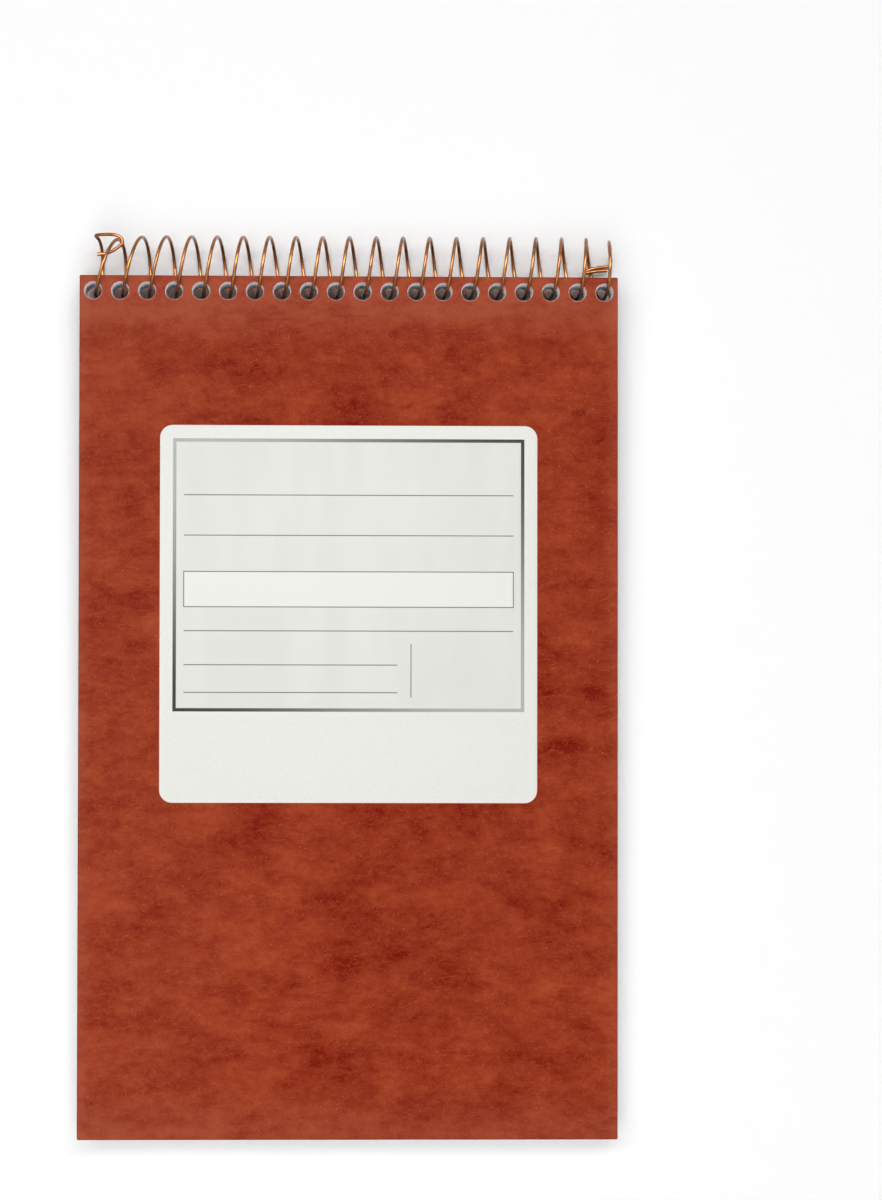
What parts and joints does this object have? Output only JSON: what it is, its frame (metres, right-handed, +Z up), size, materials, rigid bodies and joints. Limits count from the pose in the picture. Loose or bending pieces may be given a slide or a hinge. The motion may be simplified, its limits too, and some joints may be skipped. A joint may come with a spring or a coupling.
{
  "type": "spiral-bound writing pad",
  "caption": "Top-bound writing pad: a block of ruled sheets between pressboard covers with a paper label, held by a crimped spiral wire on which both covers turn.",
  "frame": {"origin": "centre of the pad's outline on the surface it lies on", "axes": "+X along the binding to the right, +Y up the sheets towards the binding, +Z up, out of the front cover"},
  "size_m": [0.127, 0.2138, 0.0149],
  "materials": {
    "pressboard": "mottled red-brown pressboard, dull",
    "paper": "white ruled paper",
    "label": "off-white smooth paper",
    "wire": "copper-coloured drawn wire"
  },
  "bodies": {
    "sheets": {"page_block": "paper", "wire_coil": "wire"},
    "front_cover": {"front_cover": "pressboard", "front_label": "label"},
    "back_cover": {"back_cover": "pressboard"}
  },
  "joints": [
    {"name": "front_cover_hinge", "type": "hinge", "parent": "sheets", "child": "front_cover", "pos_m": [0, 0.0989, 0.0075], "axis": [-1, 0, 0], "range_deg": [0, 180], "deforming": ["wire_coil"]},
    {"name": "back_cover_hinge", "type": "hinge", "parent": "sheets", "child": "back_cover", "pos_m": [0, 0.0989, 0.0075], "axis": [1, 0, 0], "range_deg": [0, 180], "deforming": ["wire_coil"]}
  ]
}
